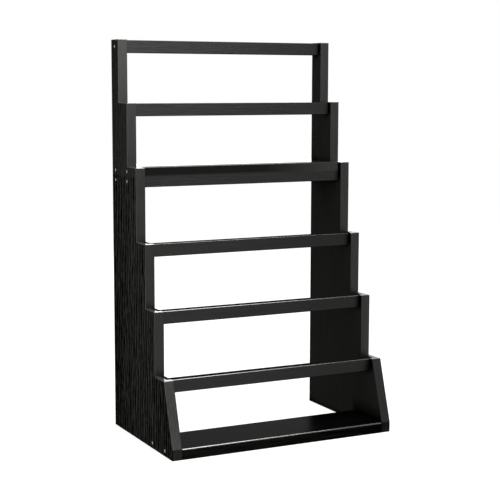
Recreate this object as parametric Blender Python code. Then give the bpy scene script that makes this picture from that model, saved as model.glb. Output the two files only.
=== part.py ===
"""Tiered counter rack for postcards, black stained wood, 400 x 250 x 657 mm.

The rack is two modules that stand one on the other. Each module has a pair of stepped side panels
and a board at its foot or head, and cross rails join the steps. The boards and the top rail are
held by countersunk wood screws through the sides, and the other rails by glued dowels. Screws that
go up through the lower module's head board hold the two modules together.

Frame: metres, +Z up, front towards -Y, X across, origin under the middle of the rack's outer box.
Tiers are numbered from the top, so tier 1 is the highest step and tier 6 the lowest.
"""
import math

import bmesh
import bpy
from mathutils import Matrix, Vector

# Overall form
OVERALL_WIDTH = 0.400
UPPER_TIERS = 2
LOWER_TIERS = 4
TIER_PITCH = 0.104          # rise from one step to the next in a module
TIER_STEP = 0.0373          # each step stands this much further forward than the one above
TOP_DEPTH = 0.031           # depth of the highest step
LOWEST_STEP_HEIGHT = 0.1205  # height of the lowest step above the floor
TOE_PROJECTION = 0.0325     # how far the sloped front of the lowest step runs forward
TOE_HEIGHT = 0.0175         # upright foot of that slope

# Timber
SIDE_THICKNESS = 0.0165
BOARD_THICKNESS = 0.016     # the pair of boards where the modules meet
BOTTOM_BOARD_THICKNESS = 0.0175
BOARD_DEPTH = 0.094         # bottom board, from the toe towards the rear
RAIL_HEIGHT = 0.021
RAIL_DEPTH = 0.016
FRONT_SETBACK = 0.009       # rails and middle boards stand back from the front edges of the sides
REAR_SETBACK = 0.0026       # middle boards stand back from the rear edges of the sides
RAIL_DROP = 0.001           # rail tops lie this much under the steps
EDGE_RADIUS = 0.0012        # eased edges of every timber

# Wood screws
SCREW_HEAD_DIAMETER = 0.0060
SCREW_SHANK_DIAMETER = 0.0030
SCREW_LENGTH = 0.040
SCREW_TIP_LENGTH = 0.006
SCREW_RIM_HEIGHT = 0.0004   # upright rim above the cone of the head
SCREW_HEAD_SINK = 0.0002    # head lies this much under the face
BOARD_SCREW_INSET = 0.0105  # from the board's rear edge to the rear screw
BOARD_SCREW_SPACING = 0.0515
JOINING_SCREW_BITE = 0.011  # length of a joining screw inside the upper board
JOINING_SCREW_INSET = 0.060  # from a side panel's inner face to a joining screw

# Dowels
DOWEL_DIAMETER = 0.006
DOWEL_LENGTH = 0.030
DOWEL_IN_SIDE = 0.010       # length of a dowel inside the side panel
DOWEL_CHAMFER = 0.0008

# Fits and facets
FIT_GAP = 0.0003            # clearance between pieces that touch
ROUND_STEPS = 16
EDGE_SEGMENTS = 2

# Derived places
TIERS = UPPER_TIERS + LOWER_TIERS
LOWER_HEIGHT = LOWEST_STEP_HEIGHT + (LOWER_TIERS - 1) * TIER_PITCH
UPPER_FOOT = LOWER_HEIGHT + FIT_GAP
UPPER_BOARD_TOP = UPPER_FOOT + BOARD_THICKNESS
OVERALL_DEPTH = TOP_DEPTH + (TIERS - 1) * TIER_STEP + TOE_PROJECTION
INNER_HALF_WIDTH = OVERALL_WIDTH / 2 - SIDE_THICKNESS
SPAN = 2 * (INNER_HALF_WIDTH - FIT_GAP)
SIDE_SIGNS = {"left": -1, "right": 1}
BOARD_TIER = UPPER_TIERS + 1

BLACK_STAIN = {"color": (0.018, 0.018, 0.019, 1.0), "roughness": 0.42, "metallic": 0.0}
YELLOW_ZINC = {"color": (0.72, 0.62, 0.42, 1.0), "roughness": 0.32, "metallic": 1.0}
BEECH = {"color": (0.62, 0.44, 0.26, 1.0), "roughness": 0.6, "metallic": 0.0}


def from_rear(depth):
    """Y of a point that lies this far in front of the rack's rear plane."""
    return OVERALL_DEPTH / 2 - depth


def tier_depth(tier):
    """Depth of a step, from the rear plane to the front edge of the sides."""
    return TOP_DEPTH + (tier - 1) * TIER_STEP


def step_height(tier):
    """Height of the top of a step above the floor."""
    if tier <= BOARD_TIER:
        return UPPER_BOARD_TOP + (BOARD_TIER - tier) * TIER_PITCH
    return LOWEST_STEP_HEIGHT + (TIERS - tier) * TIER_PITCH


def finish(name, finish_values):
    """A Principled material of one finish."""
    material = bpy.data.materials.new(name)
    material.use_nodes = True
    shader = material.node_tree.nodes["Principled BSDF"]
    shader.inputs["Base Color"].default_value = finish_values["color"]
    shader.inputs["Roughness"].default_value = finish_values["roughness"]
    shader.inputs["Metallic"].default_value = finish_values["metallic"]
    return material


def add_object(name, mesh, finish_values=None, parent=None):
    """Link a mesh as a named object, with its own material and parent."""
    piece = bpy.data.objects.new(name, mesh)
    bpy.context.scene.collection.objects.link(piece)
    piece.parent = parent
    if finish_values:
        mesh.materials.append(finish(name + "_finish", finish_values))
    return piece


def mesh_from(name, shape):
    """Turn a bmesh with outward faces into a mesh."""
    bmesh.ops.recalc_face_normals(shape, faces=shape.faces)
    mesh = bpy.data.meshes.new(name)
    shape.to_mesh(mesh)
    shape.free()
    return mesh


def ease_edges(piece):
    """Round the sharp edges of a timber a little."""
    bevel = piece.modifiers.new("eased_edges", "BEVEL")
    bevel.width = EDGE_RADIUS
    bevel.segments = EDGE_SEGMENTS
    bevel.limit_method = "ANGLE"
    bevel.angle_limit = math.radians(30)
    bevel.use_clamp_overlap = True


def drill(piece, *cutters):
    """Cut the holes of each cutter out of a timber."""
    for cutter in cutters:
        cut = piece.modifiers.new(cutter.name, "BOOLEAN")
        cut.operation = "DIFFERENCE"
        cut.solver = "EXACT"
        cut.object = cutter


def extruded_outline(name, outline, thickness):
    """A flat panel: an outline of (y, z) points drawn through the thickness along +X."""
    shape = bmesh.new()
    points = [shape.verts.new((0, y, z)) for y, z in outline]
    face = shape.faces.new(points)
    drawn = bmesh.ops.extrude_face_region(shape, geom=[face])["geom"]
    moved = [item for item in drawn if isinstance(item, bmesh.types.BMVert)]
    bmesh.ops.translate(shape, verts=moved, vec=(thickness, 0, 0))
    return mesh_from(name, shape)


def batten(name, depth, height):
    """A straight timber that spans the sides, with its origin at the middle of its section."""
    shape = bmesh.new()
    bmesh.ops.create_cube(shape, size=1.0)
    bmesh.ops.scale(shape, vec=(SPAN, depth, height), verts=shape.verts)
    return mesh_from(name, shape)


def turned(profile):
    """A turned shape: (radius, z) points from pole to pole, spun about Z."""
    shape = bmesh.new()
    points = [shape.verts.new((radius, 0, z)) for radius, z in profile]
    edges = [shape.edges.new(pair) for pair in zip(points, points[1:])]
    bmesh.ops.spin(
        shape, geom=points + edges, cent=(0, 0, 0), axis=(0, 0, 1),
        angle=2 * math.pi, steps=ROUND_STEPS, use_merge=True,
    )
    bmesh.ops.remove_doubles(shape, verts=shape.verts, dist=1e-7)
    bmesh.ops.recalc_face_normals(shape, faces=shape.faces)
    return shape


def round_off(mesh):
    """Smooth shading, with the real corners of a turned piece kept sharp."""
    mesh.shade_smooth()
    mesh.set_sharp_from_angle(angle=math.radians(40))
    return mesh


def screw_profile(length, clearance=0.0):
    """Half section of a countersunk screw, head at z = 0, or of the hole that clears it."""
    head = SCREW_HEAD_DIAMETER / 2 + clearance
    shank = SCREW_SHANK_DIAMETER / 2 + clearance
    mouth = SCREW_HEAD_SINK + FIT_GAP if clearance else 0.0
    cone_end = -SCREW_RIM_HEIGHT - (head - shank)
    tip = -length - clearance
    return [
        (0, mouth), (head, mouth), (head, -SCREW_RIM_HEIGHT), (shank, cone_end),
        (shank, tip + SCREW_TIP_LENGTH), (0, tip),
    ]


def dowel_profile(clearance=0.0):
    """Half section of a dowel with chamfered ends, or of the hole that clears it."""
    radius = DOWEL_DIAMETER / 2 + clearance
    end = DOWEL_LENGTH / 2 + clearance
    return [
        (0, end), (radius - DOWEL_CHAMFER, end), (radius, end - DOWEL_CHAMFER),
        (radius, DOWEL_CHAMFER - end), (radius - DOWEL_CHAMFER, -end), (0, -end),
    ]


def turn_towards(direction):
    """Rotation that carries +Z to a direction."""
    return Vector((0, 0, 1)).rotation_difference(Vector(direction))


def hole_cutter(name, profile, places):
    """One hidden cutter that holds a hole of the same profile at each place."""
    holes = bmesh.new()
    for point, direction in places.values():
        hole = turned(profile)
        turn = turn_towards(direction).to_matrix().to_4x4()
        bmesh.ops.transform(hole, matrix=Matrix.Translation(point) @ turn, verts=hole.verts)
        single = bpy.data.meshes.new(name + "_single")
        hole.to_mesh(single)
        hole.free()
        holes.from_mesh(single)
        bpy.data.meshes.remove(single)
    mesh = bpy.data.meshes.new(name)
    holes.to_mesh(mesh)
    holes.free()
    cutter = add_object(name, mesh)
    cutter.hide_render = True
    cutter.display_type = "WIRE"
    return cutter


def place_turned(profile, places, finish_values, parent):
    """Each fastener as its own object, turned to its direction."""
    for name, (point, direction) in places.items():
        piece = add_object(name, round_off(mesh_from(name, turned(profile))), finish_values, parent)
        piece.location = point
        piece.rotation_euler = turn_towards(direction).to_euler()


def stepped_outline(foot, head, head_tier, last_tier):
    """Points (y, z) up the rear edge, over the head and down the steps to the last one's front."""
    points = [(from_rear(0), foot), (from_rear(0), head), (from_rear(tier_depth(head_tier)), head)]
    for tier in range(head_tier + 1, last_tier + 1):
        points.append((from_rear(tier_depth(tier - 1)), step_height(tier)))
        points.append((from_rear(tier_depth(tier)), step_height(tier)))
    return points


def upper_side_outline():
    """Steps of the upper module, down to the short riser beside its base board."""
    points = stepped_outline(UPPER_FOOT, step_height(1), 1, BOARD_TIER)
    points.append((from_rear(tier_depth(BOARD_TIER)), UPPER_FOOT))
    return points


def lower_side_outline():
    """Steps of the lower module under its flat head, then the sloped toe."""
    points = stepped_outline(0.0, LOWER_HEIGHT, BOARD_TIER, TIERS)
    points.append((from_rear(OVERALL_DEPTH), TOE_HEIGHT))
    points.append((from_rear(OVERALL_DEPTH), 0.0))
    return points


def rail_centre(tier):
    """Middle of a rail's section, as (y, z)."""
    depth = tier_depth(tier) - FRONT_SETBACK - RAIL_DEPTH / 2
    return from_rear(depth), step_height(tier) - RAIL_DROP - RAIL_HEIGHT / 2


def board_places():
    """Rear and front edge depths, underside height and thickness of each board."""
    middle_front = tier_depth(BOARD_TIER) - FRONT_SETBACK
    head_foot = LOWER_HEIGHT - BOARD_THICKNESS
    bottom_rear = OVERALL_DEPTH - BOARD_DEPTH
    return {
        "bottom_board": (bottom_rear, OVERALL_DEPTH, 0.0, BOTTOM_BOARD_THICKNESS),
        "lower_head_board": (REAR_SETBACK, middle_front, head_foot, BOARD_THICKNESS),
        "upper_base_board": (REAR_SETBACK, middle_front, UPPER_FOOT, BOARD_THICKNESS),
    }


def side_screw_places():
    """Head point and outward direction of each screw through a side panel."""
    places = {}
    rail_y, rail_z = rail_centre(1)
    for side, sign in SIDE_SIGNS.items():
        face_x = sign * (OVERALL_WIDTH / 2 - SCREW_HEAD_SINK)
        places[f"screw_top_rail_{side}"] = (Vector((face_x, rail_y, rail_z)), (sign, 0, 0))
        for board, (rear, _, underside, thickness) in board_places().items():
            for index, end in enumerate(("rear", "front")):
                depth = rear + BOARD_SCREW_INSET + index * BOARD_SCREW_SPACING
                point = Vector((face_x, from_rear(depth), underside + thickness / 2))
                places[f"screw_{board}_{side}_{end}"] = (point, (sign, 0, 0))
    return places


def joining_screw_places():
    """Head point and direction of each screw from the lower head board into the board above."""
    places = {}
    rear, _, underside, _ = board_places()["lower_head_board"]
    face_z = underside + SCREW_HEAD_SINK
    for side, sign in SIDE_SIGNS.items():
        x = sign * (INNER_HALF_WIDTH - JOINING_SCREW_INSET)
        for index, end in enumerate(("rear", "front")):
            depth = rear + BOARD_SCREW_INSET + index * BOARD_SCREW_SPACING
            point = Vector((x, from_rear(depth), face_z))
            places[f"joining_screw_{side}_{end}"] = (point, (0, 0, -1))
    return places


def dowel_places():
    """Middle point and direction of each dowel, two in each end of a dowelled rail."""
    places = {}
    reach = DOWEL_IN_SIDE - DOWEL_LENGTH / 2
    for tier in dowelled_tiers():
        rail_y, rail_z = rail_centre(tier)
        for side, sign in SIDE_SIGNS.items():
            x = sign * (INNER_HALF_WIDTH + reach)
            for level, lift in (("lower", -RAIL_HEIGHT / 4), ("upper", RAIL_HEIGHT / 4)):
                point = Vector((x, rail_y, rail_z + lift))
                places[f"dowel_tier_{tier}_{side}_{level}"] = (point, (sign, 0, 0))
    return places


def rail_tiers():
    """Tiers that have a rail: the upper module's, then those below the pair of boards."""
    return [*range(1, UPPER_TIERS + 1), *range(BOARD_TIER + 1, TIERS + 1)]


def dowelled_tiers():
    """Tiers whose rail shows no screw in the sides."""
    return [tier for tier in rail_tiers() if tier != 1]


def build_sides(parent, side_holes, dowel_holes):
    """The four stepped side panels."""
    outlines = {"lower": lower_side_outline(), "upper": upper_side_outline()}
    for module, outline in outlines.items():
        for side, sign in SIDE_SIGNS.items():
            name = f"{module}_{side}_side"
            panel = add_object(
                name, extruded_outline(name, outline, SIDE_THICKNESS), BLACK_STAIN, parent
            )
            panel.location.x = -OVERALL_WIDTH / 2 if sign < 0 else INNER_HALF_WIDTH
            ease_edges(panel)
            drill(panel, side_holes, dowel_holes)


def build_boards(parent, side_holes, joining_holes):
    """The bottom board and the pair of boards where the modules meet."""
    for name, (rear, front, underside, thickness) in board_places().items():
        board = add_object(name, batten(name, front - rear, thickness), BLACK_STAIN, parent)
        board.location.y = from_rear((rear + front) / 2)
        board.location.z = underside + thickness / 2
        ease_edges(board)
        drill(board, side_holes)
        if name != "bottom_board":
            drill(board, joining_holes)


def build_rails(parent, side_holes, dowel_holes):
    """The cross rails at the steps."""
    for tier in rail_tiers():
        name = f"rail_tier_{tier}"
        rail = add_object(name, batten(name, RAIL_DEPTH, RAIL_HEIGHT), BLACK_STAIN, parent)
        rail.location.y, rail.location.z = rail_centre(tier)
        ease_edges(rail)
        drill(rail, side_holes if tier == 1 else dowel_holes)


def main():
    for old in list(bpy.data.objects):
        bpy.data.objects.remove(old, do_unlink=True)
    rack = bpy.data.objects.new("postcard_rack", None)
    bpy.context.scene.collection.objects.link(rack)

    joining_length = BOARD_THICKNESS + FIT_GAP + JOINING_SCREW_BITE
    side_holes = hole_cutter(
        "side_screw_holes", screw_profile(SCREW_LENGTH, FIT_GAP), side_screw_places()
    )
    joining_holes = hole_cutter(
        "joining_screw_holes", screw_profile(joining_length, FIT_GAP), joining_screw_places()
    )
    dowel_holes = hole_cutter("dowel_holes", dowel_profile(FIT_GAP), dowel_places())

    build_sides(rack, side_holes, dowel_holes)
    build_boards(rack, side_holes, joining_holes)
    build_rails(rack, side_holes, dowel_holes)
    place_turned(screw_profile(SCREW_LENGTH), side_screw_places(), YELLOW_ZINC, rack)
    place_turned(screw_profile(joining_length), joining_screw_places(), YELLOW_ZINC, rack)
    place_turned(dowel_profile(), dowel_places(), BEECH, rack)


main()
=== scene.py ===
"""Looks of the tiered postcard rack: finished timbers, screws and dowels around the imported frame.

Every timber, screw and dowel of the frame is replaced by a finer mesh at the same place and size.
Metres, +Z up, front towards -Y. Lengths below are written in millimetres times MM.
"""
import math

import bpy
import numpy as np
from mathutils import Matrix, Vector


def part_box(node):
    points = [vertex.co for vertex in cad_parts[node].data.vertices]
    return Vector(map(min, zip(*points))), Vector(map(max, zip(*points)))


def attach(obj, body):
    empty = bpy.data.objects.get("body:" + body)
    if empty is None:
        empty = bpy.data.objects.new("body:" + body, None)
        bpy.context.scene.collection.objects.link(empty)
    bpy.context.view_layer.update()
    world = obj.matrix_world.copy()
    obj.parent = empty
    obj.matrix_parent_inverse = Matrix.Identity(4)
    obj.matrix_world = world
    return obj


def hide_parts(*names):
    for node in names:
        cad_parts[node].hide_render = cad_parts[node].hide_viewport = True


MM = 0.001

# Timber details that the frame's boxes don't state
FRONT_SETBACK = 9.0 * MM     # rails and middle boards stand back from the sides' front edges
RAIL_DROP = 1.0 * MM         # rail tops lie this much under the steps
TOE_HEIGHT = 17.5 * MM       # upright foot of the sloped toe
PANEL_EASE = 0.6 * MM        # rounding along the panels' faces
PANEL_CORNER = 0.8 * MM      # rounding of the steps' outer corners
SEAM_SHARE = 0.15            # share of the easing where the two modules meet
SEAM_DROP = 0.25 * MM        # the upper panels' feet come down by this, so no light shows in the seam
RUBBED_ARRIS = 1.0 * MM      # chamfer along the front top edges of the two lowest rails
BOARD_ARRIS = 1.7 * MM       # chamfer along the front top edge of the bottom board
UNDER_ARRIS = 0.8 * MM       # chamfer along the front lower edges of the rails
PLAIN_ARRIS = 0.4 * MM       # chamfer along other edges
SEAM_ARRIS = 0.1 * MM        # chamfer where the two middle boards meet
NOSING_DEPTH = 30.0 * MM     # dull band along the front of the upper base board's top
ARRIS_POWER = 1.3            # superellipse power: 1 is a flat chamfer, 2 a quarter circle
END_EASE = 0.4 * MM          # rounding at the ends of the rails and boards

# Screws and dowels
HEAD_RADIUS = 3.0 * MM
SHANK_RADIUS = 1.5 * MM
RIM_HEIGHT = 0.4 * MM
RIM_CHAMFER = 0.1 * MM
HEAD_SINK = 0.6 * MM         # the heads' faces lie this deep inside the frame's heads
MOUTH = 0.5 * MM             # from the frame's heads out past the timber's face
TIP_LENGTH = 6.0 * MM
TIP_SHARE = 0.02             # a screw's tip is this share of its full radius
HOLE_TIP_SHARE = 0.1         # the tip of its hole is this share
THREAD_PITCH = 1.8 * MM
THREAD_DEPTH = 0.5 * MM
THREAD_STEEPNESS = 3         # each flank of the ridge falls over the pitch divided by this
PLAIN_SHANK = 13.0 * MM      # from the head's face to the first turn of thread
THREAD_RUNOUT = 0.2 * MM     # from there to the plain shank
RECESS_DEPTH = 1.6 * MM
RECESS_REACH = 1.9 * MM      # from the axis to the end of a wing
RECESS_HALF_WIDTH = 0.5 * MM
RECESS_LEAN = 0.12 * MM      # width over which a wing's side walls slope
RECESS_END_LEAN = 0.36 * MM  # length over which its end wall slopes
RECESS_FALL = 0.67           # share of the depth lost from the axis to a wing's end
FACE_MARGIN = 0.25 * MM      # the fine rings across a head start this far inside its edge
FACE_AXIS = 0.05 * MM        # and end this far from its axis
FIT_GAP = 0.3 * MM
DOWEL_FLUTES = 18
DOWEL_FLUTE_DEPTH = 0.25 * MM
DOWEL_CHAMFER = 0.8 * MM

# Fineness of the meshes
ARC_STEPS = 5                # points in a rounding
CUTTER_COLUMNS = 32
SCREW_COLUMNS = 48
THREAD_ROWS = 8              # rings in one turn of thread
FACE_ROWS = 30               # rings across a screw's head
FLUTE_COLUMNS = 6            # points in one flute
SHARP_ANGLE = 38             # degrees; edges that turn further stay sharp
LARGE_FACE_WEIGHT = 100      # Blender's weight that lets the largest faces set the normals
ONE_LINE = 1e-6              # edges nearer to parallel than this count as one line

# Parts of a face's unit normal that sort it into a zone
STRAIGHT = 0.9               # looks straight that way
MOSTLY = 0.5                 # looks mainly that way
TILTED = 0.35                # is tilted that way, as an arris is
LEVEL = 0.3                  # looks up or down enough for a top or an underside
TURNED = 0.2                 # is turned a little that way
SLOPING = 0.1                # looks up a little, as the slope above the toe does

# Grain and stain of the side panels, with cell sizes (x, y, z) in millimetres
RING_SPACING = 7.7 * MM
RING_STRETCH = 0.30          # the rings' waves are longer than wide by one over this
RING_WAVES = 2.0             # detail scale; at 2 the waves are 1.6 rings wide
RING_BEND = 4.0              # radians of a ring by which the waves push it to and fro
WAVE_BAND = math.pi / 10     # width of a band of Blender's wave texture at scale 1
LINE_SIZE = (30, 5.0, 130)
FLECK_SIZE = (30, 2.0, 14)
PORE_SIZE = (12, 0.9, 8)
RING_SHARE = 0.32
LINE_SHARE = 0.12
PORE_SHARE = 0.18
PORE_RELIEF = 0.4 * MM
LIT_LINE = -5.0 * MM        # depth at which the panels' outsides are painted lightest
LIT_FALL = 4.6              # grain value lost per square metre of distance from that line, as painted shade
# Painted shade on the panels' inner faces: darker colour in corners and above the bottom board
CORNER_REACH = 20.0 * MM     # distance over which the inner faces feel what stands near them
CORNER_CLOSED = 0.45         # open share at which the painted shade is deepest
CORNER_OPEN = 0.78           # open share from which no shade is painted
CORNER_SHADE = 0.08          # share of the plain colour that the deepest corners keep under the painted shade
FOOT_SHADE = 0.1             # share that the inner faces keep at the bottom board's top under the painted shade
FOOT_SHADE_HEIGHT = 27.0 * MM
FOOT_SHADE_REAR = 2.0 * MM   # the painted shade ends this far behind the board
FOOT_SHADE_FADE = 14.0 * MM  # and fades over this length before that

# Lacquer of the edges, rails and boards
BUMP_STRENGTH = 0.5
GRAIN_LOW = 0.3              # most of the grain's noise lies between these two values
GRAIN_HIGH = 0.7
SHEEN_SPREAD = 0.03          # roughness varies by this to either side
SHADE_START = 0.2            # the painted shade on the upper base board's front pales between these shares of its half
SHADE_END = 0.9
SHADE_FOOT = 4.0 * MM        # and within this height over its lower edge

# Room, floor and lamps
ROOM_LIGHT_BEHIND = 0.9
ROOM_LIGHT_BEFORE = 0.12
ROOM_BEFORE = -0.3           # depth part of a direction at which the room's light starts to grow
ROOM_BEHIND = 0.5            # and at which it is full
FLOOR_HALF = 8.0
FLOOR_DROP = 0.3 * MM        # the floor lies this much under the rack, so no faces coincide
FLOOR_COLOUR = "#8c8c8c"
FLOOR_GLOW = 0.88
SOFTBOXES = {                # place, target, width and height in metres, and power in watts
    "overhead_softbox": ((0.36, -0.68, 2.1), (0.0, -0.1, 0.3), (1.4, 0.9), 60),
    "front_softbox": ((0.18, -1.2, 0.80), (0.0, 0.1, 0.6), (0.8, 0.25), 8.2),
    "left_softbox": ((-1.3, -1.0, 0.9), (-0.1, -0.05, 0.3), (0.5, 1.2), 4),
    "rear_softbox": ((0.77, 2.2, 0.7), (0.0, 0.0, 0.4), (1.3, 1.0), 12.2),
}

# View: a long lens from the front left, a little under the top rail; angles in degrees
CAMERA_PLACE = (-0.97255, -1.9351, 0.58491)
CAMERA_YAW = 26.5963
CAMERA_PITCH = -7.3136
CAMERA_ROLL = -0.1164
CAMERA_LENS = 93.443         # millimetres, on Blender's 36 mm sensor


# Mesh helpers

def unit(vectors):
    """Vectors divided by their lengths."""
    return vectors / np.linalg.norm(vectors, axis=-1, keepdims=True)


def circle_angles(columns):
    """Angles of points spread evenly round a circle."""
    return np.arange(columns) * 2 * math.pi / columns


def grid_faces(rows, columns):
    """Quads of a grid whose columns close on themselves: each point, its right, upper and both."""
    row, column = np.meshgrid(np.arange(rows - 1), np.arange(columns), indexing="ij")
    right = (column + 1) % columns
    quads = np.stack(
        [row * columns + column, row * columns + right,
         (row + 1) * columns + right, (row + 1) * columns + column], axis=-1)
    return quads.reshape(-1, 4).tolist()


def capped_rings(rings):
    """Vertices and faces of rings (row, column, xyz) joined in order, with a face on each end."""
    rows, columns = rings.shape[:2]
    last = (rows - 1) * columns
    faces = grid_faces(rows, columns)
    faces.append(list(range(columns - 1, -1, -1)))
    faces.append(list(range(last, last + columns)))
    return rings.reshape(-1, 3), faces


def turned_rings(profile, columns):
    """Rings of a profile of (radius, z) rows spun about Z, from the lowest row up."""
    angle = circle_angles(columns)
    radius, height = np.asarray(profile).T
    return np.stack(
        [np.outer(radius, np.cos(angle)), np.outer(radius, np.sin(angle)),
         np.outer(height, np.ones(columns))], axis=-1)


def quarter_round(size):
    """Depth below a face and shrinkage of the outline, along a quarter round of the given size."""
    turn = np.linspace(0, math.pi / 2, ARC_STEPS)
    return size * (1 - np.cos(turn)), size * (1 - np.sin(turn))


def new_piece(name, vertices, faces):
    """A mesh object at the origin whose vertices are already in place."""
    mesh = bpy.data.meshes.new(name)
    mesh.from_pydata(vertices.tolist(), [], faces)
    mesh.update()
    piece = bpy.data.objects.new(name, mesh)
    bpy.context.scene.collection.objects.link(piece)
    return piece


def along(axis, points):
    """Points carried from a +Z axis to another unit axis, turned the shortest way."""
    turn = np.array(Vector((0, 0, 1)).rotation_difference(Vector(axis)).to_matrix())
    return points @ turn.T


def drill(piece, holes):
    """Cut holes out of a piece; each hole is (profile, point, axis) of a turned cutter."""
    vertices = []
    faces = []
    for profile, point, axis in holes:
        points, quads = capped_rings(turned_rings(profile, CUTTER_COLUMNS))
        first = sum(len(block) for block in vertices)
        faces += [[index + first for index in quad] for quad in quads]
        vertices.append(along(axis, points) + np.array(point))
    cutter = new_piece("hole_cutter", np.concatenate(vertices), faces)
    cut = piece.modifiers.new("holes", "BOOLEAN")
    cut.operation = "DIFFERENCE"
    cut.solver = "EXACT"
    cut.object = cutter
    graph = bpy.context.evaluated_depsgraph_get()
    drilled = bpy.data.meshes.new_from_object(piece.evaluated_get(graph))
    piece.modifiers.remove(cut)
    piece.data = drilled
    bpy.data.objects.remove(cutter)


def smooth_out(piece):
    """Smooth shading in which flat faces stay flat and real corners stay sharp."""
    piece.data.shade_smooth()
    piece.data.set_sharp_from_angle(angle=math.radians(SHARP_ANGLE))
    weighted = piece.modifiers.new("flat_faces", "WEIGHTED_NORMAL")
    weighted.keep_sharp = True
    weighted.weight = LARGE_FACE_WEIGHT


def face_values(piece, key):
    """A vector of each of a piece's faces, such as its normal or center, one row each."""
    polygons = piece.data.polygons
    values = np.zeros(len(polygons) * 3, np.float32)
    polygons.foreach_get(key, values)
    return values.reshape(-1, 3)


def dress(piece, finishes, zones):
    """Give the piece a finish for each named zone, and each face the finish of its own zone."""
    piece.data.materials.clear()
    slots = np.zeros(len(zones), np.int32)
    for slot, (zone, finish) in enumerate(finishes.items()):
        piece.data.materials.append(finish)
        slots[zones == zone] = slot
    piece.data.polygons.foreach_set("material_index", slots)


def stand_for(piece, node):
    """The piece takes a frame node's place and moves with the rack; the node is hidden."""
    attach(piece, "root")
    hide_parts(node)


# Materials

def linear(code):
    """Linear RGBA of an sRGB hex colour, by the sRGB formula."""
    value = np.array([int(code[i:i + 2], 16) for i in (1, 3, 5)]) / 255
    value = np.where(value <= 0.04045, value / 12.92, ((value + 0.055) / 1.055) ** 2.4)
    return (*value.tolist(), 1.0)


def put(tree, kind, sockets=None, stops=(), **settings):
    """Add a node, set its properties, and fill its inputs with constants or with other outputs.

    A colour ramp also takes its (position, hex colour) stops.
    """
    node = tree.nodes.new(kind)
    for key, value in settings.items():
        setattr(node, key, value)
    for key, value in (sockets or {}).items():
        if isinstance(value, bpy.types.NodeSocket):
            tree.links.new(value, node.inputs[key])
        else:
            node.inputs[key].default_value = value
    if stops:
        elements = node.color_ramp.elements
        while len(elements) < len(stops):
            elements.new(0.5)
        for element, (position, code) in zip(elements, stops):
            element.position = position
            element.color = linear(code)
    return node


def new_material(name):
    """An empty node material and its tree."""
    material = bpy.data.materials.new(name)
    material.use_nodes = True
    material.node_tree.nodes.clear()
    return material, material.node_tree


def finished(tree, shade, stops, sockets):
    """Principled shader as the material's surface, its colour from a value and the ramp's stops."""
    colour = put(tree, "ShaderNodeValToRGB", {"Fac": shade}, stops).outputs["Color"]
    shader = put(tree, "ShaderNodeBsdfPrincipled", {"Base Color": colour, **sockets})
    put(tree, "ShaderNodeOutputMaterial", {"Surface": shader.outputs["BSDF"]})


def grain_noise(tree, coordinates, size, detail=3.0, roughness=0.6):
    """Noise whose cells measure size (x, y, z) in millimetres."""
    scaled = put(tree, "ShaderNodeMapping", {
        "Vector": coordinates, "Scale": [1 / (length * MM) for length in size]})
    noise = put(tree, "ShaderNodeTexNoise", {
        "Vector": scaled.outputs["Vector"], "Scale": 1.0, "Detail": detail, "Roughness": roughness})
    return noise.outputs["Fac"]


def open_pore_stain(name, stops, light_climb):
    """Ash veneer, brushed open and stained black: upright streaks of raised and sunk grain.

    The eye gets a dead matte black with lighter ridges: growth rings a few millimetres apart, broken
    into short streaks. The stops give the stain's colour from sunk to raised grain. Painted light
    makes the colour palest along one upright line, and painted shade deepens it with the square of the
    distance from it. The climb paints light and shade: how much the grain's value gains per metre of
    height.
    """
    material, tree = new_material(name)
    place = put(tree, "ShaderNodeTexCoord").outputs["Object"]
    drawn_out = put(tree, "ShaderNodeMapping", {"Vector": place, "Scale": (1, 1, RING_STRETCH)})
    rings = put(tree, "ShaderNodeTexWave", {
        "Vector": drawn_out.outputs["Vector"], "Scale": WAVE_BAND / RING_SPACING,
        "Distortion": RING_BEND, "Detail": 1.0, "Detail Scale": RING_WAVES}, bands_direction="Y")
    lines = grain_noise(tree, place, LINE_SIZE, 1.0, 0.5)
    pores = grain_noise(tree, place, PORE_SIZE, 2.0)
    figure = grain_noise(tree, place, FLECK_SIZE, 3.0, 0.65)
    layers = ((rings.outputs["Fac"], RING_SHARE), (lines, LINE_SHARE), (pores, PORE_SHARE))
    for layer, share in layers:
        mixed = put(tree, "ShaderNodeMix", {"Factor": share, "A": figure, "B": layer})
        figure = mixed.outputs["Result"]
    axes = put(tree, "ShaderNodeSeparateXYZ", {"Vector": place}).outputs
    # Painted light and shade: palest along one upright line, and lighter or darker with height
    off = put(tree, "ShaderNodeMath", {0: axes["Y"], 1: LIT_LINE}, operation="SUBTRACT")
    away = off.outputs["Value"]
    square = put(tree, "ShaderNodeMath", {0: away, 1: away}, operation="MULTIPLY")
    pale = put(tree, "ShaderNodeMath", {0: square.outputs["Value"], 1: -LIT_FALL, 2: figure},
               operation="MULTIPLY_ADD")
    climbing = put(tree, "ShaderNodeMath", {0: axes["Z"], 1: light_climb, 2: pale.outputs["Value"]},
                   operation="MULTIPLY_ADD")
    grain = climbing.outputs["Value"]
    bump = put(tree, "ShaderNodeBump", {
        "Height": grain, "Strength": BUMP_STRENGTH, "Distance": PORE_RELIEF})
    finished(tree, grain, stops, {
        "Roughness": 0.75,
        "Specular IOR Level": 0.0,
        "Normal": bump.outputs["Normal"],
    })
    return material


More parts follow.
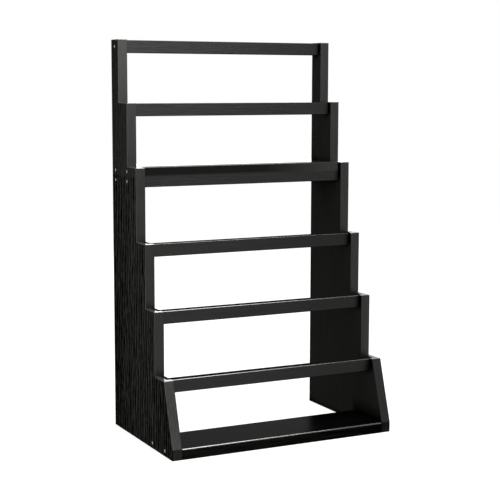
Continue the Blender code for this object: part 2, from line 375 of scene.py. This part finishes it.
def stained_face_with_painted_shade():
    """Sanded inner face of the panels: the same stain on closed grain, nearly even and matte.

    Painted shade deepens the colour in the inner corners: where a rail or board lies close by, inwards
    and rearwards of a place, and in a band above the bottom board, up to the board's rear edge.
    """
    material, tree = new_material("black_sanded_ash")
    place = put(tree, "ShaderNodeTexCoord").outputs["Object"]
    grain = grain_noise(tree, place, (30, 6, 90))
    colour = put(tree, "ShaderNodeValToRGB", {"Fac": grain},
                 [(GRAIN_LOW, "#262624"), (GRAIN_HIGH, "#2a2a28")])
    facing = put(tree, "ShaderNodeNewGeometry").outputs["Normal"]
    rearward = put(tree, "ShaderNodeVectorMath", {0: facing, 1: (0, 1, 0)}).outputs["Vector"]
    aim = put(tree, "ShaderNodeVectorMath", {0: rearward}, operation="NORMALIZE").outputs["Vector"]
    # Painted shade: ambient occlusion darkens the colour where a rail or board stands close
    open_share = put(tree, "ShaderNodeAmbientOcclusion", {"Distance": CORNER_REACH, "Normal": aim})
    corner = put(tree, "ShaderNodeMapRange", {
        "Value": open_share.outputs["AO"], "From Min": CORNER_CLOSED, "From Max": CORNER_OPEN,
        "To Min": CORNER_SHADE, "To Max": 1.0})
    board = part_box("bottom_board")[1]
    rear_end = board.y + FOOT_SHADE_REAR
    axes = put(tree, "ShaderNodeSeparateXYZ", {"Vector": place}).outputs
    # Painted shade in a band above the bottom board, up to its rear edge
    above = put(tree, "ShaderNodeMapRange", {
        "Value": axes["Z"], "From Min": board.z, "From Max": board.z + FOOT_SHADE_HEIGHT,
        "To Min": FOOT_SHADE, "To Max": 1.0})
    behind = put(tree, "ShaderNodeMapRange", {
        "Value": axes["Y"], "From Min": rear_end - FOOT_SHADE_FADE, "From Max": rear_end})
    clear = put(tree, "ShaderNodeMath", {0: above.outputs["Result"], 1: behind.outputs["Result"]},
                operation="MAXIMUM")
    share = put(tree, "ShaderNodeMath", {0: corner.outputs["Result"], 1: clear.outputs["Value"]},
                operation="MULTIPLY")
    shaded_colour = put(tree, "ShaderNodeVectorMath", {
        0: colour.outputs["Color"], "Scale": share.outputs["Value"]}, operation="SCALE")
    shader = put(tree, "ShaderNodeBsdfPrincipled", {
        "Base Color": shaded_colour.outputs["Vector"],
        "Roughness": 0.7,
        "Specular IOR Level": 0.0,
    })
    put(tree, "ShaderNodeOutputMaterial", {"Surface": shader.outputs["BSDF"]})
    return material


def satin_lacquer(name, size, stops, roughness, specular, relief=0.5, light_lean=(0, 0, 0)):
    """Black lacquer over smooth timber: a satin sheen, with faint grain of the given cell size.

    Relief is the height of the grain in millimetres. The lean paints light and shade: how much the
    grain's value, and so the colour, gains per metre.
    """
    material, tree = new_material(name)
    place = put(tree, "ShaderNodeTexCoord").outputs["Object"]
    grain = grain_noise(tree, place, size)
    spread = put(tree, "ShaderNodeMapRange", {
        "Value": grain, "From Min": GRAIN_LOW, "From Max": GRAIN_HIGH,
        "To Min": roughness - SHEEN_SPREAD, "To Max": roughness + SHEEN_SPREAD})
    bump = put(tree, "ShaderNodeBump", {
        "Height": grain, "Strength": BUMP_STRENGTH, "Distance": relief * MM})
    # Painted light and shade: the colour drifts along the lean's direction
    painted_drift = put(tree, "ShaderNodeVectorMath", {0: place, 1: light_lean}, operation="DOT_PRODUCT")
    shade = put(tree, "ShaderNodeMath", {0: grain, 1: painted_drift.outputs["Value"]}).outputs["Value"]
    finished(tree, shade, stops, {
        "Roughness": spread.outputs["Result"],
        "Specular IOR Level": specular,
        "Normal": bump.outputs["Normal"],
    })
    return material


def shaded_front():
    """Upper base board's front: painted shade, a deeper black paling to the right end and the lower
    edge.
    """
    material, tree = new_material("black_shaded_front")
    low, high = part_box("upper_base_board")
    place = put(tree, "ShaderNodeTexCoord").outputs["Object"]
    axes = put(tree, "ShaderNodeSeparateXYZ", {"Vector": place}).outputs
    right = put(tree, "ShaderNodeMapRange", {
        "Value": axes["X"], "From Min": SHADE_START * high.x, "From Max": SHADE_END * high.x})
    under = put(tree, "ShaderNodeMapRange", {
        "Value": axes["Z"], "From Min": low.z + SHADE_FOOT, "From Max": low.z})
    pale = put(tree, "ShaderNodeMath", {0: right.outputs["Result"], 1: under.outputs["Result"]},
               operation="MAXIMUM")
    finished(tree, pale.outputs["Value"], [(0.0, "#131312"), (1.0, "#2c2c2a")], {
        "Roughness": 0.5,
        "Specular IOR Level": 0.02,
    })
    return material


def zinc_plate():
    """Steel with pale yellow zinc plating, a little dulled, with fine tumbling marks."""
    material, tree = new_material("yellow_zinc_steel")
    place = put(tree, "ShaderNodeTexCoord").outputs["Object"]
    marks = grain_noise(tree, place, (1.2, 1.2, 1.2))
    finished(tree, marks, [(GRAIN_LOW, "#a29e8b"), (GRAIN_HIGH, "#c4c0ae")], {
        "Metallic": 1.0,
        "Roughness": 0.35,
    })
    return material


def beech():
    """Turned beech: pale brown with short darker flecks along the dowel."""
    material, tree = new_material("turned_beech")
    place = put(tree, "ShaderNodeTexCoord").outputs["Object"]
    flecks = grain_noise(tree, place, (6, 0.7, 0.7), 2.0)
    finished(tree, flecks, [(GRAIN_LOW, "#b98a5a"), (0.55, "#d3ab7c"), (GRAIN_HIGH, "#dcb88c")], {
        "Roughness": 0.6,
    })
    return material


def make_materials():
    """Every finish of the rack by name."""
    black = [(GRAIN_LOW, "#0e0e0d"), (GRAIN_HIGH, "#1c1c1a")]
    deep = [(GRAIN_LOW, "#090908"), (GRAIN_HIGH, "#131312")]
    # Paler colour for the step tops: a painted glint
    painted_glint = [(GRAIN_LOW, "#262624"), (GRAIN_HIGH, "#323230")]
    inky = [(GRAIN_LOW, "#020202"), (GRAIN_HIGH, "#050505")]
    return {
        # The panels' outsides: marked streaks below, a paler, calmer grain above; both with painted
        # light
        "lively_pores": open_pore_stain(
            "black_open_pore_ash", [(0.411, "#040403"), (0.511, "#232321"), (0.611, "#464642")],
            light_climb=0.065),
        "calm_pores": open_pore_stain(
            "black_calm_pore_ash", [(0.14, "#222220"), (0.29, "#30302d"), (0.44, "#3f3f3b")],
            light_climb=-0.35),
        "inner_face": stained_face_with_painted_shade(),
        # The panels' front edges: a soft sheen. The slope above the toe is painted paler to the left
        # and down, as light
        "edge": satin_lacquer(
            "black_satin_edge", (3, 3, 50), black, roughness=0.34, specular=0.24, relief=0.7),
        "slope": satin_lacquer(
            "black_satin_slope", (3, 3, 50), [(0.35, "#060606"), (0.9, "#2b2b29")],
            roughness=0.34, specular=0.24, relief=0.7, light_lean=(-2.0, 0, -5)),
        # Step tops and arrises that hands have polished: they catch the room's white as glints
        # The step tops' paler colour is a painted glint
        "step": satin_lacquer(
            "black_polished_step", (8, 30, 8), painted_glint, roughness=0.25, specular=0.5, relief=0.05),
        "arris": satin_lacquer(
            "black_rubbed_arris", (60, 4, 4), black, roughness=0.16, specular=1.0, relief=0.05),
        # The toes: nearly without sheen, painted a little paler to the left, as light
        "toe": satin_lacquer(
            "black_matte_toe", (3, 3, 20), [(0.25, "#0d0d0c"), (0.75, "#252524")],
            roughness=0.5, specular=0.02, light_lean=(-0.9, 0, 0)),
        # Rails with a soft sheen, the lower ones painted paler to the left as light, and their dead
        # matte tops
        "rail": satin_lacquer(
            "black_satin_rail", (60, 3, 2.5), deep, roughness=0.36, specular=0.18, relief=0.8),
        "low_rail": satin_lacquer(
            "black_satin_low_rail", (60, 3, 2.5), [(0.15, "#060606"), (0.95, "#1a1a19")],
            roughness=0.36, specular=0.18, relief=0.8, light_lean=(-2.6, 0, 0)),
        "rail_top": satin_lacquer(
            "black_matte_rail_top", (60, 4, 4), deep, roughness=0.7, specular=0.0),
        "underside": satin_lacquer(
            "black_matte_underside", (60, 4, 4), deep, roughness=0.7, specular=0.0),
        # The upper base board: smooth on top, so that it mirrors at a low angle; a dull nosing, and
        # painted shade in front
        "polished_top": satin_lacquer(
            "black_polished_top", (60, 6, 6), black, roughness=0.08, specular=0.006, relief=0.02),
        "nosing": satin_lacquer(
            "black_dull_nosing", (60, 6, 6), black, roughness=0.25, specular=0.0006, relief=0.1),
        "shaded_front": shaded_front(),
        # The bottom board: an inky top with a faint reflection, and a dead matte front with painted
        # shade that darkens it to the right
        "board_top": satin_lacquer(
            "black_board_top", (90, 6, 6), inky, roughness=0.25, specular=0.0006, relief=0.1),
        "board_front": satin_lacquer(
            "black_board_front", (60, 6, 3), [(0.37, "#040403"), (0.67, "#151412")],
            roughness=0.6, specular=0.0, light_lean=(-0.9, 0, 0)),
        "zinc": zinc_plate(),
        "beech": beech(),
    }


# Timbers

def edge_normals(points):
    """Outward normals of the edges of a closed outline that runs anticlockwise, from each point on."""
    tangents = unit(np.roll(points, -1, axis=0) - points)
    return np.stack([tangents[:, 1], -tangents[:, 0]], axis=-1)


def rounded_outline(corners, square_edges):
    """Outline whose outer corners are arcs, with each edge's share of the easing.

    At a corner V between edges with outward normals p and q the arc's centre is
    V - R (p + q) / (1 + p.q), and its points are centre + R n with n turning from p to q. Inner
    corners, points amid an edge, and corners on an edge that stays square are kept as they are.
    """
    corners = np.asarray(corners)
    normals = edge_normals(corners)
    points = []
    shares = []
    for index, corner in enumerate(corners):
        before, after = normals[index - 1], normals[index]
        outer = before[0] * after[1] - before[1] * after[0] > 0
        square = index in square_edges or (index - 1) % len(corners) in square_edges
        if outer and not square:
            centre = corner - PANEL_CORNER * (before + after) / (1 + before @ after)
            turn = np.linspace(0, 1, ARC_STEPS)[:, None]
            arc = centre + PANEL_CORNER * unit(before * (1 - turn) + after * turn)
            points += list(arc)
            shares += [1.0] * ARC_STEPS
        else:
            points.append(corner)
            shares.append(SEAM_SHARE if index in square_edges else 1.0)
    return np.array(points), np.array(shares)


def inset(points, shares, distance):
    """Outline moved inwards: each point takes the shortest way onto its two edges' shifted lines.

    Those lines lie a distance times each edge's share inside the edges. At a corner the point goes to
    their crossing, and amid a straight edge, where the two are one line, it goes square to it.
    """
    normals = edge_normals(points)
    lines = np.stack([np.roll(normals, 1, axis=0), normals], axis=1)
    moves = -distance * np.stack([np.roll(shares, 1), shares], axis=1)
    return points + (np.linalg.pinv(lines, rcond=ONE_LINE) @ moves[..., None])[..., 0]


def panel_rings(low_x, high_x, corners, square_edges):
    """Rings through a panel's thickness: quarter rounds from each face, and one ring in the middle."""
    points, shares = rounded_outline(corners, square_edges)
    depth, shrink = quarter_round(PANEL_EASE)
    stations = np.concatenate([low_x + depth, [(low_x + high_x) / 2], high_x - depth[::-1]])
    insets = np.concatenate([shrink, [0.0], shrink[::-1]])
    outlines = [inset(points, shares, distance) for distance in insets]
    return np.stack([
        np.column_stack([np.full(len(outline), x), outline])
        for x, outline in zip(stations, outlines)
    ])


def step_place(tier):
    """Front edge y and height of a step, from the rail or board that stands in it."""
    node = "upper_base_board" if tier == 3 else f"rail_tier_{tier}"
    low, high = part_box(node)
    return low.y - FRONT_SETBACK, high.z + (0.0 if tier == 3 else RAIL_DROP)


def stair(tiers):
    """Points down the front of the steps.

    Each tier after the first has its inner corner, a point where its rail's front stands and its
    outer corner.
    """
    places = [step_place(tier) for tier in tiers]
    points = []
    for (inner, _), (outer, height) in zip(places, places[1:]):
        points += [(inner, height), (outer + FRONT_SETBACK, height), (outer, height)]
    return points


def upper_corners(low, high):
    """Upper panel's outline from its front foot: rear edge, head and steps. Its foot is the seam."""
    front, rear, foot, head = low.y, high.y, low.z - SEAM_DROP, high.z
    return [(front, foot), (rear, foot), (rear, head), (step_place(1)[0], head)] + stair((1, 2, 3))


def lower_corners(low, high):
    """Lower panel's outline from its toe: rear edge, head (the seam), steps and sloped toe."""
    toe, rear, foot, head = low.y, high.y, low.z, high.z
    points = [(toe, foot), (rear, foot), (rear, head), (step_place(3)[0], head)]
    return points + stair((3, 4, 5, 6)) + [(toe, foot + TOE_HEIGHT)]


def panel_zones(piece, outward):
    """Name of each face's zone, from the way it looks and from where it lies.

    Arrises are the rubbed edges of the steps and of the outer face. A lower step's top counts as a
    rail top in its inner half behind the rail's front: a dark matte painted shade beside the riser.
    """
    normals = face_values(piece, "normal")
    out, front, up = normals[:, 0] * outward, -normals[:, 1], normals[:, 2]
    across, depth, height = face_values(piece, "center").T
    inner = (across - (across.min() + across.max()) / 2) * outward < 0
    zones = np.full(len(normals), "edge", "U16")
    zones[(front > TURNED) & (up > TILTED)] = "arris"
    zones[up > STRAIGHT] = "step"
    # Painted shade: the inner rear of the lower steps takes the dark matte rail-top finish
    for tier in (4, 5, 6):
        step_front, level = step_place(tier)
        behind = (np.abs(height - level) < PANEL_EASE) & (depth > step_front + FRONT_SETBACK)
        zones[(zones == "step") & inner & behind] = "rail_top"
    zones[(front > STRAIGHT) & (up > SLOPING)] = "slope"
    zones[(front > STRAIGHT) & (height < TOE_HEIGHT)] = "toe"
    zones[out > MOSTLY] = "outside"
    zones[out < -MOSTLY] = "inner_face"
    rubbed = (up > TILTED) | ((front > TILTED) & (height > TOE_HEIGHT))
    zones[(out > TURNED) & rubbed] = "arris"
    return zones


def make_panels(materials):
    """The four stepped side panels, drilled for their screws and dowels."""
    makings = {
        "upper": (upper_corners, {0}, "calm_pores"),
        "lower": (lower_corners, {2}, "lively_pores"),
    }
    for module, (corners_of, square_edges, outside) in makings.items():
        finishes = {"outside": materials[outside]}
        for zone in ("inner_face", "edge", "step", "toe", "arris", "rail_top", "slope"):
            finishes[zone] = materials[zone]
        for side, outward in (("left", -1), ("right", 1)):
            node = f"{module}_{side}_side"
            low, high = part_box(node)
            rings = panel_rings(low.x, high.x, corners_of(low, high), square_edges)
            piece = new_piece(f"stained_{node}", *capped_rings(rings))
            drill(piece, side_holes(side))
            dress(piece, finishes, panel_zones(piece, outward))
            smooth_out(piece)
            stand_for(piece, node)


def batten_rings(low, high, upper_arris, lower_arris):
    """Rings along X of a section whose four arrises are superellipse quarters.

    In an arris of size s the section's distance from the corner's inner point is s (cos a)^(2/p)
    across and s (sin a)^(2/p) up, with p the power; every other corner swaps the two, so that the
    points run round. One more point parts the front band of the top from the rest. The first and
    last rings are drawn in a little.
    """
    angle = np.linspace(0, math.pi / 2, ARC_STEPS + 2)
    across = np.cos(angle) ** (2 / ARRIS_POWER)
    up = np.sin(angle) ** (2 / ARRIS_POWER)
    half = np.array([(high.y - low.y) / 2, (high.z - low.z) / 2])
    corners = [(1, 1, PLAIN_ARRIS), (-1, 1, upper_arris), (-1, -1, lower_arris), (1, -1, PLAIN_ARRIS)]
    section = []
    for number, (side, level, size) in enumerate(corners):
        quarter = np.column_stack([up, across] if number % 2 else [across, up])
        section.append(np.array([side, level]) * (half - size + size * quarter))
    nosing = np.array([[min(NOSING_DEPTH, half[0]) - half[0], half[1]]])
    section = np.concatenate([section[0], nosing, *section[1:]])
    middle = np.array([(low.y + high.y) / 2, (low.z + high.z) / 2])
    depth, shrink = quarter_round(END_EASE)
    stations = np.concatenate([low.x + depth, high.x - depth[::-1]])
    insets = np.concatenate([shrink, shrink[::-1]])
    return np.stack([
        np.column_stack([np.full(len(section), x), middle + section * (1 - gap / half)])
        for x, gap in zip(stations, insets)
    ])


def batten_zones(piece, front):
    """Name of each face's zone. The nosing is the band of the top next to the front."""
    normals = face_values(piece, "normal")
    depth = face_values(piece, "center")[:, 1]
    forward, up = -normals[:, 1], normals[:, 2]
    zones = np.full(len(normals), "face", "U16")
    zones[up > LEVEL] = "top"
    zones[(up > STRAIGHT) & (depth < front + NOSING_DEPTH)] = "nosing"
    zones[up < -LEVEL] = "underside"
    zones[(forward > TURNED) & (up > TURNED)] = "arris"
    return zones


def make_battens(materials):
    """The rails and boards between the sides, drilled for their screws and dowels.

    Each has a finish for every zone of batten_zones, and the sizes of its two front arrises.
    """
    plain = {"face": "rail", "top": "rail_top", "arris": "rail", "underside": "underside",
             "nosing": "rail_top"}
    rubbed = {**plain, "face": "low_rail", "arris": "arris"}
    upper_base = {**plain, "face": "shaded_front", "top": "polished_top", "nosing": "nosing"}
    bottom = {"face": "board_front", "top": "board_top", "arris": "arris",
              "underside": "board_front", "nosing": "board_top"}
    makings = {
        "rail_tier_1": (plain, PLAIN_ARRIS, UNDER_ARRIS),
        "rail_tier_2": (plain, PLAIN_ARRIS, UNDER_ARRIS),
        "rail_tier_4": (rubbed, PLAIN_ARRIS, UNDER_ARRIS),
        "rail_tier_5": (rubbed, RUBBED_ARRIS, UNDER_ARRIS),
        "rail_tier_6": (rubbed, RUBBED_ARRIS, UNDER_ARRIS),
        "upper_base_board": (upper_base, PLAIN_ARRIS, SEAM_ARRIS),
        "lower_head_board": (plain, SEAM_ARRIS, UNDER_ARRIS),
        "bottom_board": (bottom, BOARD_ARRIS, PLAIN_ARRIS),
    }
    for node, (looks, upper_arris, lower_arris) in makings.items():
        low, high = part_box(node)
        rings = batten_rings(low, high, upper_arris, lower_arris)
        piece = new_piece(f"lacquered_{node}", *capped_rings(rings))
        joining = joining_holes() if node in ("lower_head_board", "upper_base_board") else []
        drill(piece, side_holes("left", "right") + joining)
        finishes = {zone: materials[look] for zone, look in looks.items()}
        dress(piece, finishes, batten_zones(piece, low.y))
        smooth_out(piece)
        stand_for(piece, node)


# Screws and dowels

def nodes_named(start, part=""):
    """Frame nodes whose name starts with one word and holds another, in order."""
    return sorted(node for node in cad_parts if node.startswith(start) and part in node)


def screw_place(node):
    """Middle of a screw's head, the axis that the head faces, and the screw's length."""
    low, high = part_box(node)
    middle = (low + high) / 2
    if node.startswith("joining"):
        return (middle.x, middle.y, low.z + HEAD_SINK), (0, 0, -1), high.z - low.z - HEAD_SINK
    outward = -1 if "_left" in node else 1
    face = (low.x if outward < 0 else high.x) - outward * HEAD_SINK
    return (face, middle.y, middle.z), (outward, 0, 0), high.x - low.x - HEAD_SINK


def dowel_place(node):
    """Middle of a dowel, its radius and its half length."""
    low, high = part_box(node)
    return (low + high) / 2, (high.z - low.z) / 2, (high.x - low.x) / 2


def screw_hole(node):
    """Turned cutter that clears a screw by the fit gap, open above its head."""
    point, axis, length = screw_place(node)
    head = HEAD_RADIUS + FIT_GAP
    shank = SHANK_RADIUS + FIT_GAP
    tip = -length - FIT_GAP
    mouth = HEAD_SINK + MOUTH
    profile = [
        (HOLE_TIP_SHARE * shank, tip), (shank, tip + TIP_LENGTH),
        (shank, -RIM_HEIGHT - (head - shank)), (head, -RIM_HEIGHT), (head, mouth),
    ]
    return profile, point, axis


def dowel_hole(node):
    """Turned cutter that clears a dowel by the fit gap."""
    middle, radius, half = dowel_place(node)
    wide = radius + FIT_GAP
    profile = [(wide, -half - FIT_GAP), (wide, half + FIT_GAP)]
    return profile, middle, (1, 0, 0)


def side_holes(*sides):
    """Holes for the screws through one side or both, and then for their dowels."""
    screws = [screw_hole(node) for side in sides for node in nodes_named("screw_", f"_{side}")]
    dowels = [dowel_hole(node) for side in sides for node in nodes_named("dowel_", f"_{side}")]
    return screws + dowels


def joining_holes():
    """Holes for the screws that hold the two modules together."""
    return [screw_hole(node) for node in nodes_named("joining_")]


def recess_depth(x, y):
    """Depth of the cross recess: deepest on the axis, shallower along each wing.

    A point lies in a wing where the smaller of |x| and |y| is under the half width and the larger
    under the reach. The depth falls evenly from the axis to a wing's end, and the walls slope.
    """
    narrow = np.minimum(np.abs(x), np.abs(y))
    far = np.maximum(np.abs(x), np.abs(y))
    wall = np.clip((RECESS_HALF_WIDTH - narrow) / RECESS_LEAN + 0.5, 0, 1)
    end = np.clip((RECESS_REACH - far) / RECESS_END_LEAN + 0.5, 0, 1)
    return RECESS_DEPTH * wall * end * (1 - RECESS_FALL * np.clip(far / RECESS_REACH, 0, 1))


def screw_shape(length):
    """Rings of a countersunk wood screw along Z, tip first, its head's face at z = 0.

    Below the plain shank the radius at angle a and height z is the core plus a ridge, which is
    highest where z / pitch - a / 2 pi is a whole number. Core and ridge shrink towards the tip.
    The rings then go up the cone and rim and across the head to the cross recess.
    """
    angle = circle_angles(SCREW_COLUMNS)
    rows = int((length - PLAIN_SHANK) / (THREAD_PITCH / THREAD_ROWS))
    height = np.linspace(-length, -PLAIN_SHANK, rows)
    taper = np.clip((height + length) / TIP_LENGTH, TIP_SHARE, 1)[:, None]
    phase = height[:, None] / THREAD_PITCH - angle / (2 * math.pi)
    ridge = np.clip(1 - THREAD_STEEPNESS * np.abs((phase + 0.5) % 1 - 0.5), 0, 1)
    fade = np.clip((-PLAIN_SHANK - height) / THREAD_PITCH, 0, 1)[:, None]
    core = SHANK_RADIUS - THREAD_DEPTH
    threaded = taper * (core + THREAD_DEPTH * ridge * fade)
    plain = np.array([
        (core, -PLAIN_SHANK + THREAD_RUNOUT), (core, -RIM_HEIGHT - (HEAD_RADIUS - core)),
        (HEAD_RADIUS, -RIM_HEIGHT), (HEAD_RADIUS, -RIM_CHAMFER), (HEAD_RADIUS - RIM_CHAMFER, 0.0),
    ])
    across = np.linspace(HEAD_RADIUS - FACE_MARGIN, FACE_AXIS, FACE_ROWS)
    turned = np.concatenate([plain[:, 0], across])
    radius = np.concatenate([threaded, np.repeat(turned[:, None], SCREW_COLUMNS, axis=1)])
    level = np.concatenate([height, plain[:, 1], np.zeros(FACE_ROWS)])
    x = radius * np.cos(angle)
    y = radius * np.sin(angle)
    z = np.repeat(level[:, None], SCREW_COLUMNS, axis=1)
    z[-FACE_ROWS:] -= recess_depth(x[-FACE_ROWS:], y[-FACE_ROWS:])
    return np.stack([x, y, z], axis=-1)


def make_screws(materials):
    """Every wood screw, with its thread and cross recess."""
    for node in nodes_named("screw_") + nodes_named("joining_"):
        point, axis, length = screw_place(node)
        points, faces = capped_rings(screw_shape(length))
        piece = new_piece(f"threaded_{node}", along(axis, points) + np.array(point), faces)
        piece.data.materials.append(materials["zinc"])
        smooth_out(piece)
        stand_for(piece, node)


def dowel_shape(radius, half):
    """Rings of a fluted dowel along Z with chamfered ends.

    The radius at angle a is the outer one less the flute depth times (1 - cos(flutes a)) / 2.
    """
    angle = circle_angles(DOWEL_FLUTES * FLUTE_COLUMNS)
    flute = DOWEL_FLUTE_DEPTH * (1 - np.cos(DOWEL_FLUTES * angle)) / 2
    level = np.array([-half, DOWEL_CHAMFER - half, half - DOWEL_CHAMFER, half])
    drawn_in = np.array([DOWEL_CHAMFER, 0.0, 0.0, DOWEL_CHAMFER])
    around = radius - flute[None, :] - drawn_in[:, None]
    return np.stack([around * np.cos(angle), around * np.sin(angle),
                     np.repeat(level[:, None], len(angle), axis=1)], axis=-1)


def make_dowels(materials):
    """Every glued dowel, fluted as such dowels are."""
    for node in nodes_named("dowel_"):
        middle, radius, half = dowel_place(node)
        points, faces = capped_rings(dowel_shape(radius, half))
        piece = new_piece(f"fluted_{node}", along((1, 0, 0), points) + np.array(middle), faces)
        piece.data.materials.append(materials["beech"])
        smooth_out(piece)
        stand_for(piece, node)


# Studio

def background_share(tree):
    """1 for rays that should see the white background, 0 for those that carry its light."""
    path = put(tree, "ShaderNodeLightPath").outputs
    seen = put(tree, "ShaderNodeMath", {0: path["Is Camera Ray"], 1: path["Is Glossy Ray"]},
               operation="MAXIMUM")
    return put(tree, "ShaderNodeMath", {0: seen.outputs["Value"], 1: path["Is Transmission Ray"]},
               operation="MAXIMUM").outputs["Value"]


def make_world():
    """A white room, full white to the eye and in reflections.

    As a light it is stronger behind the rack, where the white backdrop hangs, than before it.
    """
    world = bpy.data.worlds.new("white_room")
    bpy.context.scene.world = world
    world.use_nodes = True
    tree = world.node_tree
    tree.nodes.clear()
    towards = put(tree, "ShaderNodeTexCoord").outputs["Generated"]
    depth = put(tree, "ShaderNodeSeparateXYZ", {"Vector": towards}).outputs["Y"]
    light = put(tree, "ShaderNodeMapRange", {
        "Value": depth, "From Min": ROOM_BEFORE, "From Max": ROOM_BEHIND,
        "To Min": ROOM_LIGHT_BEFORE, "To Max": ROOM_LIGHT_BEHIND})
    level = put(tree, "ShaderNodeMix", {
        "Factor": background_share(tree), "A": light.outputs["Result"], "B": 1.0})
    room = put(tree, "ShaderNodeBackground", {
        "Color": (1, 1, 1, 1), "Strength": level.outputs["Result"]})
    put(tree, "ShaderNodeOutputWorld", {"Surface": room.outputs["Background"]})


def make_floor():
    """A wide pale floor that reads as white and keeps a soft shadow under the rack."""
    half, level = FLOOR_HALF, -FLOOR_DROP
    corners = np.array([(-half, -half, level), (half, -half, level), (half, half, level),
                        (-half, half, level)])
    floor = new_piece("pale_floor", corners, [[0, 1, 2, 3]])
    material, tree = new_material("pale_floor_paint")
    matte = put(tree, "ShaderNodeBsdfDiffuse", {"Color": linear(FLOOR_COLOUR)})
    glow = put(tree, "ShaderNodeEmission", {"Color": (1, 1, 1, 1), "Strength": FLOOR_GLOW})
    both = put(tree, "ShaderNodeAddShader", {0: matte.outputs["BSDF"], 1: glow.outputs["Emission"]})
    shown = put(tree, "ShaderNodeMixShader", {
        "Fac": background_share(tree), 1: matte.outputs["BSDF"], 2: both.outputs["Shader"]})
    put(tree, "ShaderNodeOutputMaterial", {"Surface": shown.outputs["Shader"]})
    floor.data.materials.append(material)


def make_softbox(name, place, target, size, power):
    """A rectangular lamp that faces a target."""
    lamp = bpy.data.lights.new(name, "AREA")
    lamp.shape = "RECTANGLE"
    lamp.size, lamp.size_y = size
    lamp.energy = power
    box = bpy.data.objects.new(name, lamp)
    bpy.context.scene.collection.objects.link(box)
    box.location = place
    box.rotation_euler = (Vector(target) - Vector(place)).to_track_quat("-Z", "Y").to_euler()
    box.visible_camera = False


def make_camera():
    """A long lens at the photographed angle."""
    lens = bpy.data.cameras.new("camera")
    lens.lens = CAMERA_LENS
    camera = bpy.data.objects.new("camera", lens)
    bpy.context.scene.collection.objects.link(camera)
    camera.location = CAMERA_PLACE
    camera.rotation_euler = (
        math.radians(90 + CAMERA_PITCH), math.radians(CAMERA_ROLL), math.radians(-CAMERA_YAW))
    bpy.context.scene.camera = camera


def make_studio():
    """Room, floor, lamps and camera."""
    make_world()
    make_floor()
    for name, (place, target, size, power) in SOFTBOXES.items():
        make_softbox(name, place, target, size, power)
    make_camera()
    bpy.context.scene.view_settings.view_transform = "Standard"


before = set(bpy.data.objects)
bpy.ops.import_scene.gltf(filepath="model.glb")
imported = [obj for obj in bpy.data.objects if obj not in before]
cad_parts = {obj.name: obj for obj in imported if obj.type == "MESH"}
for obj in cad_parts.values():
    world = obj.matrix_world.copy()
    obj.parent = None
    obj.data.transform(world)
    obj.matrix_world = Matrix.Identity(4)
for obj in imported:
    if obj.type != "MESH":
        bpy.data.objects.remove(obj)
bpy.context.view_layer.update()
finish_set = make_materials()
make_panels(finish_set)
make_battens(finish_set)
make_screws(finish_set)
make_dowels(finish_set)
make_studio()
